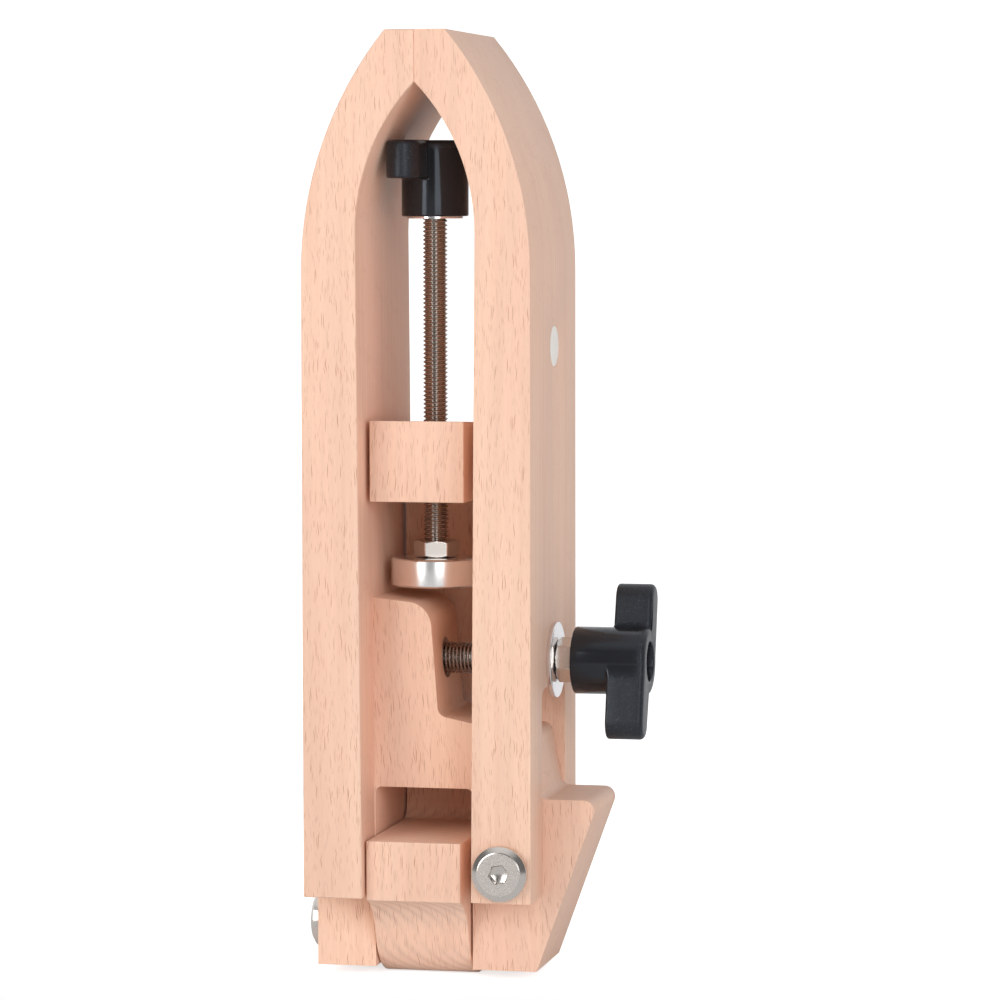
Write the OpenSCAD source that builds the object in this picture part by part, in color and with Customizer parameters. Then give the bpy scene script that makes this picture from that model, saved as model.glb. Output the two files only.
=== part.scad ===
// Wooden stitching clamp: two arched arms on a base, and a fold-out frame that grips a table edge.
// Right is +X, the back is +Y and up is +Z. The origin is in the plane that the clamp stands on with
// its frame folded in, midway between the arms and halfway through their depth. Lengths are in
// millimetres.

/* [Arms] */
// height of the closed arms above the table
overall_h = 223.7; // [150:0.1:320]
// depth of both arms, front to back
arm_depth = 54; // [36:1:90]
// from the middle to the outer face of an arm
arm_outer_half = 27.3; // [20:0.1:40]
// from the middle to the inner face, at the foot of an arm
arm_inner_half_low = 13.1; // [10:0.1:20]
// from the middle to the inner face, where the inner arch starts
arm_inner_half_high = 14.2; // [10:0.1:20]
// height of the arms' lower ends
arm_bottom_h = 20.6; // [12:0.1:30]
// how far below the arms' top the outer arch starts
outer_arch_drop = 56; // [30:1:90]
// radius of the outer arch
outer_arch_r = 88; // [60:1:140]
// how far below the arms' top the inner arch starts
inner_arch_drop = 47; // [30:1:80]
// radius of the inner arch
inner_arch_r = 50; // [35:0.1:90]
// wood between the clamp stud's hole and the slot's top, in both arms
slot_web = 1.8; // [0.8:0.1:4]
// radius of the slot's upper corners
slot_corner_r = 3.5; // [1:0.1:8]
// height of the needle magnet's middle
magnet_h = 149.7; // [100:0.1:200]
// diameter of the needle magnet
magnet_d = 9.8; // [5:0.1:16]
// thickness of the needle magnet
magnet_t = 3; // [1:0.1:6]
// how far the magnet sits behind the middle
magnet_back = 1.4; // [0:0.1:6]

/* [Base] */
// thickness of the base body, which is also the tongue in both slots
base_t = 27; // [18:0.5:40]
// height of the base body's lower ends, which hang clear of the table
base_bottom_h = 2.4; // [0:0.1:6]
// height of the base body's shelf at the left arm
shelf_left_h = 90.5; // [70:0.1:120]
// height of the shelf at the recess wall
shelf_right_h = 89; // [70:0.1:120]
// place of the recess wall's top
recess_wall_top_x = 0.2; // [-6:0.1:6]
// place of the recess wall's foot
recess_wall_foot_x = 2.2; // [-6:0.1:8]
// height of the recess floor at its wall
recess_floor_in_h = 62.7; // [48:0.1:80]
// height of the recess floor at its outer end
recess_floor_out_h = 58.3; // [48:0.1:80]
// place of the recess floor's outer end
recess_floor_out_x = 24.1; // [18:0.1:32]
// place of the foot's inner corner
foot_in_x = 26.7; // [20:0.1:34]
// reach of the foot at its top
foot_out_x = 40.8; // [32:0.1:60]
// height of the foot's top
foot_h = 43.5; // [33:0.1:60]
// reach of the foot at its lower end
foot_low_x = 25.9; // [18:0.1:40]
// left wall of the window that the folding frame swings in
window_left_x = -13.1; // [-18:0.1:-10]
// right wall of the window
window_right_x = 10.5; // [6:0.1:14]
// height of the window
window_h = 45.5; // [45.4:0.1:60]
// radius of the window's upper corners
window_corner_r = 1.5; // [0.5:0.1:1.5]
// rounding of the shelf's edge
shelf_edge_r = 6; // [1:0.1:8]
// rounding at the other corners of the base
base_corner_r = 2.5; // [0.5:0.1:5]
// how far the clamp stud lies below the shelf
stud_drop = 13.8; // [8:0.1:20]

/* [Folding frame] */
// width of the folding frame
frame_w = 22.7; // [14:0.1:30]
// gap between the folding frame and the window's left wall
frame_side_gap = 0.4; // [0.2:0.05:1]
// height of the fold pivot
fold_h = 11.2; // [8:0.1:16]
// radius of the frame's lower front round
round_r = 14; // [10:0.1:16]
// place of the lower front round's middle, in front of the pivot
round_front = 2; // [0.5:0.1:4]
// front face of the jaw block
jaw_front = 24.6; // [18:0.1:30]
// top of the jaw block
jaw_h = 34; // [25:0.1:36]
// upper end of the cove under the jaw block
cove_top_h = 20; // [17:0.1:24]
// radius of the cove
cove_r = 13; // [11:0.1:30]
// front face of the spine
spine_front = 16.7; // [14:0.1:22]
// open thread between the lock nut and the crossbar
crossbar_gap = 10.2; // [1:0.1:30]
// thickness of the crossbar at its front
crossbar_t = 19.1; // [18:0.1:30]
// how much lower the crossbar's top is at the back
crossbar_fall = 2.6; // [0:0.1:4]
// front face of the crossbar
crossbar_front = 20; // [12:0.1:26]
// rounding inside the folding frame
frame_fillet_r = 4; // [1:0.1:8]

/* [Table screw] */
// nominal diameter of the table screw, clamp stud and bolts
screw_d = 6; // [4:0.5:8]
// place of the table screw, left of the middle
screw_x = -1.3; // [-4:0.1:4]
// diameter of the pad
pad_d = 21.5; // [12:0.1:22]
// gap between the shelf and the pad
pad_gap = 2; // [0.5:0.1:16]
// thickness of the pad
pad_t = 6.8; // [3:0.1:10]
// thickness of the pad's floor, below the screw's end
pad_floor_t = 2.3; // [1:0.1:2.8]
// bevel at the pad's rims
pad_bevel = 0.4; // [0.1:0.1:1]
// height of the lock nut on the pad
lock_nut_t = 4.1; // [2:0.1:6]
// width across the flats of both nuts
nut_af = 9.5; // [8:0.5:13]
// angle of the lock nut, from one flat straight ahead
lock_nut_turn = 13; // [0:1:30]
// how far above the inner arch's start the upper knob begins
table_knob_rise = 3.7; // [0:0.1:4]
// angle of the upper knob's wing, from front to back
table_knob_turn = 2; // [0:0.5:3]

/* [Knobs] */
// diameter of a knob's hub
knob_hub_d = 16; // [10:0.5:22]
// length of a knob along its axis
knob_l = 18; // [12:0.5:26]
// length of the hub below the wing
knob_hub_l = 9; // [5:0.5:14]
// length of the wing, over both lobes
wing_l = 38; // [24:0.5:50]
// width of a lobe of the wing
wing_w = 8; // [6:0.5:12]
// how far a lobe's outer side lies inside the hub's
wing_inset = 0.3; // [0.1:0.1:2]
// bevel round the wing's outer face
wing_bevel = 1.5; // [0.5:0.1:2.5]
// diameter of the opening in a knob's end
knob_hole_d = 9.6; // [6:0.1:12]
// depth of the opening in a knob's end
knob_hole_l = 6; // [2:0.5:10]
// diameter of the threaded insert in a knob
knob_insert_d = 9; // [7:0.1:11]
// diameter of the flange on the upper knob's insert
insert_flange_d = 13.4; // [10:0.1:15]
// thickness of that flange
insert_flange_t = 0.5; // [0.3:0.1:1]
// angle of the side knob's wing, from upright
clamp_knob_turn = 13; // [0:1:90]

/* [Side clamp] */
// diameter of the washer on the right arm
washer_d = 18; // [12:0.5:24]
// thickness of the washer
washer_t = 1.2; // [0.6:0.1:2]
// thickness of the nut between washer and knob
clamp_nut_t = 4.2; // [2:0.1:6]
// angle of that nut, from one corner straight up
clamp_nut_turn = -12; // [-30:1:30]
// how far the clamp stud reaches into the knob's opening
stud_end_l = 0.6; // [0:0.1:3]
// outer diameter of the spring
spring_d = 7.6; // [7:0.1:12]
// diameter of the spring's wire
spring_wire_d = 0.5; // [0.4:0.05:1]
// number of curls in the spring
spring_curls = 16; // [8:1:24]
// diameter of the spring's seat in the recess wall
spring_seat_d = 9.7; // [8:0.1:14]
// depth of the spring's seat, below the recess wall
spring_seat_l = 3; // [1:0.1:6]

/* [Pivots] */
// height of the arm pivot
arm_pivot_h = 27.8; // [27.2:0.1:34]
// diameter of a pivot bolt's head
bolt_head_d = 13; // [9:0.1:16]
// thickness of a pivot bolt's head
bolt_head_t = 2.8; // [1.5:0.1:5]
// width of the bevel round a pivot bolt's head
bolt_bevel = 1.3; // [0.4:0.1:2]
// height of that bevel
bolt_bevel_h = 0.7; // [0.2:0.1:1.2]
// width across the flats of a bolt's socket
bolt_socket_af = 4; // [2.5:0.5:6]
// depth of a bolt's socket
bolt_socket_l = 2.2; // [1:0.1:4]
// diameter of the sleeve nut's barrel
sleeve_d = 8; // [7:0.5:11]
// gap between the sleeve nut's barrel and the base
sleeve_end_gap = 1.5; // [0.5:0.1:4]
// diameter of the washer at the fold pivot
fold_washer_d = 12.4; // [9:0.1:18]
// diameter of a threaded insert in the wood
insert_d = 9.6; // [8:0.1:12]
// length of the threaded insert at the fold pivot
fold_insert_l = 11; // [6:0.5:14]
// length of the threaded insert in the crossbar
table_insert_l = 15; // [8:0.5:18]
// length of the clamp stud's insert
stud_insert_l = 8.5; // [5:0.5:10]

/* [Clearances] */
// radial gap of a shaft that turns in a bore
run_gap = 0.05; // [0.02:0.01:0.2]
// gap of a glued or screwed fit in the wood
seat_gap = 0.05; // [0.02:0.01:0.2]
// gap on each side of the base inside the right arm
swing_gap = 0.2; // [0.1:0.05:0.6]
// radial gap of the clamp stud in the tilting arm
stud_hole_gap = 1.2; // [0.9:0.1:2]
// radial gap of a bolt in a plain hole
bolt_gap = 0.1; // [0.05:0.05:0.5]

/* [Hidden] */
$fn = 96;

// extra length of every cut past the face that it leaves through
overrun = 1;
// steps in a rounded corner of an outline
corner_steps = 8;
// rings in one curl of the spring, and sides of its wire
spring_rings = 8;
spring_sides = 6;
// gap between the spring and the faces at its ends
spring_end_gap = 0.08;

// the arm pivot, right of the middle and in the middle of the arm's foot
arm_pivot_x = (arm_inner_half_low + arm_outer_half) / 2;
sleeve_l = (arm_depth - base_t) / 2 - sleeve_end_gap;
outer_arch_h = overall_h - outer_arch_drop;
inner_arch_h = overall_h - inner_arch_drop;
stud_h = shelf_right_h - stud_drop;
slot_top_h = stud_h - screw_d / 2 - stud_hole_gap - slot_web;
pad_low_h = shelf_left_h + pad_gap;
pad_top_h = pad_low_h + pad_t;
crossbar_low_h = pad_top_h + lock_nut_t + crossbar_gap;
crossbar_top_h = crossbar_low_h + crossbar_t;
table_knob_h = inner_arch_h + table_knob_rise;
half_base = base_t / 2;
frame_left_x = window_left_x + frame_side_gap;
frame_right_x = frame_left_x + frame_w;
frame_back = arm_depth / 2;
washer_out_x = arm_outer_half + washer_t;
clamp_knob_x = washer_out_x + clamp_nut_t;
stud_end_x = clamp_knob_x + knob_l - knob_hole_l + stud_end_l;
stud_in_x = recess_wall_x(stud_h) - spring_seat_l - stud_insert_l;
spring_in_x = recess_wall_x(stud_h) - spring_seat_l + spring_end_gap + spring_wire_d / 2;
spring_out_x = arm_inner_x(stud_h) - spring_end_gap - spring_wire_d / 2;
spring_mid_r = (spring_d - spring_wire_d) / 2;
screw_low_h = pad_low_h + pad_floor_t;
screw_top_h = table_knob_h + knob_l - knob_hole_l + stud_end_l;
fold_head_x = -arm_outer_half - washer_t;
wood = [0.93, 0.75, 0.60];
steel = [0.72, 0.70, 0.68];
black = [0.13, 0.13, 0.14];

// inner face of an arm at a height
function arm_inner_x(h) = arm_inner_half_low
    + (arm_inner_half_high - arm_inner_half_low) * (h - arm_bottom_h) / (inner_arch_h - arm_bottom_h);

// wall of the spring's recess at a height
function recess_wall_x(h) = recess_wall_top_x
    + (recess_wall_foot_x - recess_wall_top_x) * (shelf_right_h - h) / (shelf_right_h - recess_floor_in_h);

function unit(v) = v / norm(v);

// one corner of an outline, rounded to radius r between its neighbours a and b
function rounded_corner(a, p, b, r) =
    let (u = unit(a - p), v = unit(b - p))
    let (half = acos(u * v) / 2, middle = p + unit(u + v) * r / sin(half))
    let (start = p + u * r / tan(half) - middle, finish = p + v * r / tan(half) - middle)
    let (from = atan2(start[1], start[0]), turn = atan2(finish[1], finish[0]) - from)
    let (sweep = turn > 180 ? turn - 360 : turn < -180 ? turn + 360 : turn)
    [for (i = [0 : corner_steps]) middle
        + r * [cos(from + sweep * i / corner_steps), sin(from + sweep * i / corner_steps)]];

// outline from corners [x, y, radius]
function rounded_outline(corners) =
    let (n = len(corners), at = [for (c = corners) [c[0], c[1]]])
    [for (i = [0 : n - 1])
        each corners[i][2] > 0
            ? rounded_corner(at[(i + n - 1) % n], at[i], at[(i + 1) % n], corners[i][2])
            : [at[i]]];

// points of an arc, ends included
function arc(middle, r, from, to) =
    [for (i = [0 : corner_steps * 2]) let (a = from + (to - from) * i / corner_steps / 2)
        middle + r * [cos(a), sin(a)]];

// stands an outline drawn in X and Z upright, and gives it a depth either side of the middle
module upright(depth) {
    rotate([90, 0, 0])
        linear_extrude(depth, center = true) children();
}

// lays a shape that points up along +X
module along_x() {
    rotate([0, 90, 0]) children();
}

module hexagon(af, h) {
    cylinder(d = af / cos(30), h = h, $fn = 6);
}

// head of a bolt or sleeve nut, with its bevelled rim and hexagon socket, top upwards
module pivot_head() {
    difference() {
        union() {
            cylinder(d = bolt_head_d, h = bolt_head_t - bolt_bevel_h);
            translate([0, 0, bolt_head_t - bolt_bevel_h])
                cylinder(d1 = bolt_head_d, d2 = bolt_head_d - 2 * bolt_bevel, h = bolt_bevel_h);
        }
        translate([0, 0, bolt_head_t - bolt_socket_l])
            hexagon(bolt_socket_af, bolt_socket_l + overrun);
    }
}

// cross section of the slot in both arms, in Y and Z, widened by gap
module slot_outline(gap) {
    half = half_base + gap;
    top = slot_top_h + gap;
    low = -overrun;
    translate([-half, low])
        square([2 * half, top - slot_corner_r - low]);
    translate([-half + slot_corner_r, low])
        square([2 * (half - slot_corner_r), top - low]);
    for (side = [-1, 1])
        translate([side * (half - slot_corner_r), top - slot_corner_r])
            circle(slot_corner_r);
}

// the slot's cross section, drawn out along X between two places
module slot_bar(gap, from, to) {
    translate([from, 0, 0])
        rotate([90, 0, 90])
            linear_extrude(to - from) slot_outline(gap);
}

// right arm seen from the front
module arm_outline() {
    difference() {
        intersection() {
            translate([0, arm_bottom_h])
                square([arm_outer_half, overall_h - arm_bottom_h]);
            union() {
                translate([0, arm_bottom_h])
                    square([arm_outer_half, outer_arch_h - arm_bottom_h]);
                translate([arm_outer_half - outer_arch_r, outer_arch_h])
                    circle(outer_arch_r, $fn = 180);
            }
        }
        polygon([[-overrun, arm_bottom_h - overrun], [arm_inner_half_low, arm_bottom_h - overrun],
            [arm_inner_half_low, arm_bottom_h], [arm_inner_half_high, inner_arch_h],
            [-overrun, inner_arch_h]]);
        intersection() {
            translate([arm_inner_half_high - inner_arch_r, inner_arch_h])
                circle(inner_arch_r, $fn = 180);
            translate([-overrun, inner_arch_h])
                square([arm_outer_half, inner_arch_r]);
        }
    }
}

module left_arm() {
    color(wood)
        difference() {
            mirror([1, 0, 0])
                upright(arm_depth) arm_outline();
            slot_bar(seat_gap, -arm_outer_half - overrun, 0);
        }
}

module right_arm() {
    color(wood)
        difference() {
            upright(arm_depth) arm_outline();
            slot_bar(swing_gap, 0, arm_outer_half + overrun);
            translate([arm_pivot_x, 0, arm_pivot_h])
                rotate([90, 0, 0])
                    cylinder(d = screw_d + 2 * bolt_gap, h = arm_depth + overrun);
            translate([arm_pivot_x, 0, arm_pivot_h])
                rotate([-90, 0, 0])
                    cylinder(d = sleeve_d + 2 * seat_gap, h = arm_depth + overrun);
            translate([0, 0, stud_h])
                along_x()
                    cylinder(d = screw_d + 2 * stud_hole_gap, h = arm_outer_half + overrun);
            translate([arm_outer_half - magnet_t, magnet_back, magnet_h])
                along_x()
                    cylinder(d = magnet_d + 2 * seat_gap, h = magnet_t + overrun);
        }
}

module needle_magnet() {
    color([0.90, 0.90, 0.88])
        translate([arm_outer_half - magnet_t, magnet_back, magnet_h])
            along_x()
                cylinder(d = magnet_d, h = magnet_t);
}

// base seen from the front, right of the left arm's inner face
module base_outline() {
    polygon(rounded_outline([
        [-arm_inner_x(shelf_left_h), shelf_left_h, 0],
        [recess_wall_top_x, shelf_right_h, shelf_edge_r],
        [recess_wall_foot_x, recess_floor_in_h, base_corner_r],
        [recess_floor_out_x, recess_floor_out_h, base_corner_r],
        [foot_in_x, foot_h, base_corner_r],
        [foot_out_x, foot_h, base_corner_r],
        [foot_low_x, base_bottom_h, 0],
        [window_right_x, base_bottom_h, 0],
        [window_right_x, window_h, window_corner_r],
        [window_left_x, window_h, window_corner_r],
        [window_left_x, base_bottom_h, 0],
        [-arm_outer_half, base_bottom_h, 0],
        [-arm_outer_half, arm_bottom_h, 0],
        [-arm_inner_x(arm_bottom_h), arm_bottom_h, 0]]));
}

module base_body() {
    wall_x = recess_wall_x(stud_h);
    color(wood)
        difference() {
            union() {
                upright(base_t) base_outline();
                intersection() {
                    slot_bar(0, -arm_outer_half, window_left_x);
                    upright(arm_depth)
                        translate([-arm_outer_half, base_bottom_h])
                            square([arm_outer_half, slot_top_h]);
                }
            }
            translate([arm_pivot_x, 0, arm_pivot_h])
                rotate([90, 0, 0])
                    cylinder(d = screw_d + 2 * run_gap, h = base_t + overrun, center = true);
            translate([-arm_outer_half - overrun, 0, fold_h])
                along_x()
                    cylinder(d = screw_d + 2 * bolt_gap, h = arm_outer_half + overrun);
            translate([window_right_x - overrun, 0, fold_h])
                along_x()
                    cylinder(d = insert_d + 2 * seat_gap, h = fold_insert_l + overrun);
            translate([wall_x - spring_seat_l, 0, stud_h])
                along_x()
                    cylinder(d = spring_seat_d, h = spring_seat_l + arm_inner_half_low);
            translate([stud_in_x, 0, stud_h])
                along_x()
                    cylinder(d = insert_d + 2 * seat_gap, h = stud_insert_l + overrun);
        }
}

// hexagon bolt through the right arm and the base, with its head in front
module arm_pivot_bolt() {
    color(steel)
        translate([arm_pivot_x, 0, arm_pivot_h]) {
            translate([0, -arm_depth / 2, 0])
                rotate([90, 0, 0]) pivot_head();
            translate([0, -arm_depth / 2, 0])
                rotate([-90, 0, 0])
                    cylinder(d = screw_d, h = arm_depth - bolt_head_t);
        }
}

module arm_pivot_nut() {
    color(steel)
        translate([arm_pivot_x, arm_depth / 2, arm_pivot_h]) {
            rotate([-90, 0, 0])
                difference() {
                    pivot_head();
                    translate([0, 0, -overrun])
                        cylinder(d = bolt_socket_af, h = overrun);
                }
            rotate([90, 0, 0])
                difference() {
                    cylinder(d = sleeve_d, h = sleeve_l);
                    translate([0, 0, bolt_head_t - run_gap])
                        cylinder(d = screw_d + 2 * run_gap, h = sleeve_l);
                }
        }
}

module fold_pivot_bolt() {
    color(steel)
        translate([fold_head_x, 0, fold_h]) {
            rotate([0, -90, 0]) pivot_head();
            along_x()
                cylinder(d = screw_d, h = window_right_x + fold_insert_l - fold_head_x);
        }
}

module fold_pivot_washer() {
    color(steel)
        translate([fold_head_x, 0, fold_h])
            along_x()
                difference() {
                    cylinder(d = fold_washer_d, h = washer_t);
                    translate([0, 0, -overrun])
                        cylinder(d = screw_d + 2 * bolt_gap, h = washer_t + 2 * overrun);
                }
}

// threaded insert, its open end upwards at the origin
module wood_insert(d, l) {
    color([0.78, 0.62, 0.34])
        translate([0, 0, -l])
            difference() {
                cylinder(d = d, h = l);
                translate([0, 0, -overrun])
                    cylinder(d = screw_d + 2 * run_gap, h = l + 2 * overrun);
            }
}

module fold_pivot_insert() {
    translate([window_right_x + fold_insert_l, 0, fold_h])
        along_x() wood_insert(insert_d, fold_insert_l);
}

// folding frame seen from the side, in Y and Z: jaw block, spine and crossbar; the cove starts at the
// jaw's lower front edge and runs smoothly into the round
module frame_outline() {
    jaw_edge = [-jaw_front, cove_top_h];
    round_middle = [-round_front, round_r];
    apart = norm(round_middle - jaw_edge);
    to_round = atan2(round_middle[1] - jaw_edge[1], round_middle[0] - jaw_edge[0]);
    between = acos((pow(cove_r, 2) + pow(apart, 2) - pow(cove_r + round_r, 2)) / (2 * cove_r * apart));
    from_cove = to_round - between;
    cove_middle = jaw_edge + cove_r * [cos(from_cove), sin(from_cove)];
    lean = atan2(round_middle[1] - cove_middle[1], round_middle[0] - cove_middle[0]);
    inside = rounded_outline([
        [-crossbar_front, crossbar_low_h, 0],
        [spine_front, crossbar_low_h, frame_fillet_r],
        [spine_front, jaw_h, frame_fillet_r],
        [-jaw_front, jaw_h, 0]]);
    polygon(concat(
        [[frame_back, 0], [frame_back, crossbar_top_h - crossbar_fall], [-crossbar_front, crossbar_top_h]],
        inside,
        arc(cove_middle, cove_r, from_cove + 180, lean),
        arc(round_middle, round_r, 180 + lean, 270)));
}

module folding_frame() {
    color(wood)
        difference() {
            translate([frame_left_x, 0, 0])
                rotate([90, 0, 90])
                    linear_extrude(frame_w) frame_outline();
            translate([frame_left_x - overrun, 0, fold_h])
                along_x()
                    cylinder(d = screw_d + 2 * run_gap, h = frame_w + 2 * overrun);
            translate([screw_x, 0, crossbar_low_h - overrun])
                cylinder(d = insert_d + 2 * seat_gap, h = table_insert_l + overrun);
            translate([screw_x, 0, crossbar_low_h])
                cylinder(d = screw_d + 2 * bolt_gap, h = crossbar_top_h - crossbar_low_h + overrun);
        }
}

module table_screw_insert() {
    translate([screw_x, 0, crossbar_low_h + table_insert_l])
        wood_insert(insert_d, table_insert_l);
}

module table_screw() {
    color(steel)
        translate([screw_x, 0, screw_low_h])
            cylinder(d = screw_d, h = screw_top_h - screw_low_h);
}

module pad_disc() {
    color([0.86, 0.87, 0.88])
        translate([screw_x, 0, pad_low_h])
            difference() {
                union() {
                    cylinder(d1 = pad_d - 2 * pad_bevel, d2 = pad_d, h = pad_bevel);
                    translate([0, 0, pad_bevel])
                        cylinder(d = pad_d, h = pad_t - 2 * pad_bevel);
                    translate([0, 0, pad_t - pad_bevel])
                        cylinder(d1 = pad_d, d2 = pad_d - 2 * pad_bevel, h = pad_bevel);
                }
                translate([0, 0, screw_low_h - pad_low_h])
                    cylinder(d = screw_d + 2 * run_gap, h = pad_t);
            }
}

// hexagon nut, lower face at the origin, turned on its axis
module hex_nut(t, turn) {
    color(steel)
        difference() {
            rotate([0, 0, turn]) hexagon(nut_af, t);
            translate([0, 0, -overrun])
                cylinder(d = screw_d + 2 * run_gap, h = t + 2 * overrun);
        }
}

module pad_lock_nut() {
    translate([screw_x, 0, pad_top_h]) hex_nut(lock_nut_t, lock_nut_turn);
}

// wing knob standing on its hub, with the wing along Y; its back lobe lies to the right of the axis and
// its front lobe to the left, each nearly flush with the hub on that side
module wing_knob() {
    wing_t = knob_l - knob_hub_l;
    end_r = wing_w / 2;
    end_at = wing_l / 2 - end_r;
    lobe_x = knob_hub_d / 2 - wing_inset - end_r;
    color(black)
        difference() {
            union() {
                cylinder(d = knob_hub_d, h = knob_l - wing_bevel);
                translate([0, 0, knob_l - wing_bevel])
                    cylinder(d1 = knob_hub_d, d2 = knob_hub_d - 2 * wing_bevel, h = wing_bevel);
                for (turn = [0, 180])
                    rotate([0, 0, turn])
                        translate([lobe_x, 0, knob_hub_l]) {
                            rotate([-90, 0, 0])
                                linear_extrude(end_at)
                                    polygon([[-end_r, 0], [end_r, 0], [end_r, wing_bevel - wing_t],
                                        [end_r - wing_bevel, -wing_t], [wing_bevel - end_r, -wing_t],
                                        [-end_r, wing_bevel - wing_t]]);
                            translate([0, end_at, 0])
                                cylinder(r = end_r, h = wing_t - wing_bevel);
                            translate([0, end_at, wing_t - wing_bevel])
                                cylinder(r1 = end_r, r2 = end_r - wing_bevel, h = wing_bevel);
                        }
            }
            translate([0, 0, -overrun])
                cylinder(d = knob_insert_d + 2 * seat_gap, h = knob_l - knob_hole_l + overrun);
            translate([0, 0, knob_l - knob_hole_l])
                cylinder(d = knob_hole_d, h = knob_hole_l + overrun);
        }
}

module knob_insert() {
    translate([0, 0, knob_l - knob_hole_l])
        wood_insert(knob_insert_d, knob_l - knob_hole_l);
}

module table_knob() {
    translate([screw_x, 0, table_knob_h])
        rotate([0, 0, -table_knob_turn]) wing_knob();
}

// the upper knob's insert, with a flange that its hub sits on
module table_knob_insert() {
    translate([screw_x, 0, table_knob_h]) {
        knob_insert();
        color(steel)
            difference() {
                translate([0, 0, -insert_flange_t])
                    cylinder(d = insert_flange_d, h = insert_flange_t);
                translate([0, 0, -insert_flange_t - overrun])
                    cylinder(d = screw_d + 2 * run_gap, h = insert_flange_t + 2 * overrun);
            }
    }
}

module clamp_stud() {
    color(steel)
        translate([stud_in_x, 0, stud_h])
            along_x()
                cylinder(d = screw_d, h = stud_end_x - stud_in_x);
}

module clamp_stud_insert() {
    translate([stud_in_x + stud_insert_l, 0, stud_h])
        along_x() wood_insert(insert_d, stud_insert_l);
}

// middle of the spring's wire, ring by ring
function spring_point(i) =
    let (share = i / (spring_rings * spring_curls), turn = 360 * i / spring_rings)
    [spring_in_x + (spring_out_x - spring_in_x) * share,
        spring_mid_r * cos(turn), stud_h + spring_mid_r * sin(turn)];

// one ring of points round the wire, square to its run
function spring_ring(i) =
    let (turn = 360 * i / spring_rings, rise = (spring_out_x - spring_in_x) / spring_curls)
    let (out = [0, cos(turn), sin(turn)])
    let (run = unit([rise / (2 * PI * spring_mid_r), -sin(turn), cos(turn)]))
    let (across = cross(run, out))
    [for (s = [0 : spring_sides - 1]) let (a = 360 * s / spring_sides)
        spring_point(i) + spring_wire_d / 2 * (cos(a) * out + sin(a) * across)];

spring_ring_count = spring_rings * spring_curls + 1;

// least gap between one curl and the next, over the spring's rings
spring_gap = min([for (i = [0 : spring_ring_count - 1 - spring_rings])
    for (step = [-1 : 1]) let (j = i + spring_rings + step)
        if (j < spring_ring_count) norm(spring_point(j) - spring_point(i)) - spring_wire_d]);

module arm_spring() {
    points = [for (i = [0 : spring_ring_count - 1]) each spring_ring(i)];
    last = (spring_ring_count - 1) * spring_sides;
    sides = [for (i = [0 : spring_ring_count - 2]) for (s = [0 : spring_sides - 1])
        let (a = i * spring_sides + s, b = i * spring_sides + (s + 1) % spring_sides)
        each [[a, b, a + spring_sides], [b, b + spring_sides, a + spring_sides]]];
    ends = [for (s = [1 : spring_sides - 2]) each [[0, s + 1, s], [last, last + s, last + s + 1]]];
    echo(spring_gap = spring_gap);
    color(steel)
        polyhedron(points, concat(sides, ends));
}

module clamp_washer() {
    color(steel)
        translate([arm_outer_half, 0, stud_h])
            along_x()
                difference() {
                    cylinder(d = washer_d, h = washer_t);
                    translate([0, 0, -overrun])
                        cylinder(d = screw_d + 2 * run_gap, h = washer_t + 2 * overrun);
                }
}

module clamp_nut() {
    translate([washer_out_x, 0, stud_h])
        along_x() hex_nut(clamp_nut_t, clamp_nut_turn);
}

module clamp_knob() {
    translate([clamp_knob_x, 0, stud_h])
        rotate([-clamp_knob_turn, 0, 0])
            rotate([0, 90, 0])
                rotate([0, 0, 90]) wing_knob();
}

module clamp_knob_insert() {
    translate([clamp_knob_x, 0, stud_h])
        along_x() knob_insert();
}

base_body();
left_arm();
right_arm();
needle_magnet();
arm_pivot_bolt();
arm_pivot_nut();
fold_pivot_bolt();
fold_pivot_washer();
fold_pivot_insert();
folding_frame();
table_screw_insert();
table_screw();
pad_disc();
pad_lock_nut();
table_knob();
table_knob_insert();
clamp_stud();
clamp_stud_insert();
arm_spring();
clamp_washer();
clamp_nut();
clamp_knob();
clamp_knob_insert();
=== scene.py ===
"""Beech stitching clamp: two arched arms on a base, a fold-out table frame, and two black wing knobs."""
import bpy
import bmesh
import math
import numpy as np
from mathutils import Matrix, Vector


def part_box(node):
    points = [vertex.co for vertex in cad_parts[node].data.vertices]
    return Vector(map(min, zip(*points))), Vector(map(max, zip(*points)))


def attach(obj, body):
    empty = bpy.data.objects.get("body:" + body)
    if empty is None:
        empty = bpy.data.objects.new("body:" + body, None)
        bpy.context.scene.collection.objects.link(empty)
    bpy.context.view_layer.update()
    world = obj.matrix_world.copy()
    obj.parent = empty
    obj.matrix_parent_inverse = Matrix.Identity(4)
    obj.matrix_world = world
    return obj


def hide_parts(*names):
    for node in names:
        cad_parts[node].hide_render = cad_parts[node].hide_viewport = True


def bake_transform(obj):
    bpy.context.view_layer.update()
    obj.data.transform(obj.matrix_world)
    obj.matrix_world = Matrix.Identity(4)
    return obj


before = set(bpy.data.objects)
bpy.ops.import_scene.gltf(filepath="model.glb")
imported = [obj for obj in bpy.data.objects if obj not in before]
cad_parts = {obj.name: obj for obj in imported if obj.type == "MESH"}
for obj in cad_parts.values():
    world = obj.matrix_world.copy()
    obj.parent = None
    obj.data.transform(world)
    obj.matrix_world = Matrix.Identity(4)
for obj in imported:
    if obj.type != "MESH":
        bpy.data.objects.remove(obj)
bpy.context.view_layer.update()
scene = bpy.context.scene
MM = 0.001

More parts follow.
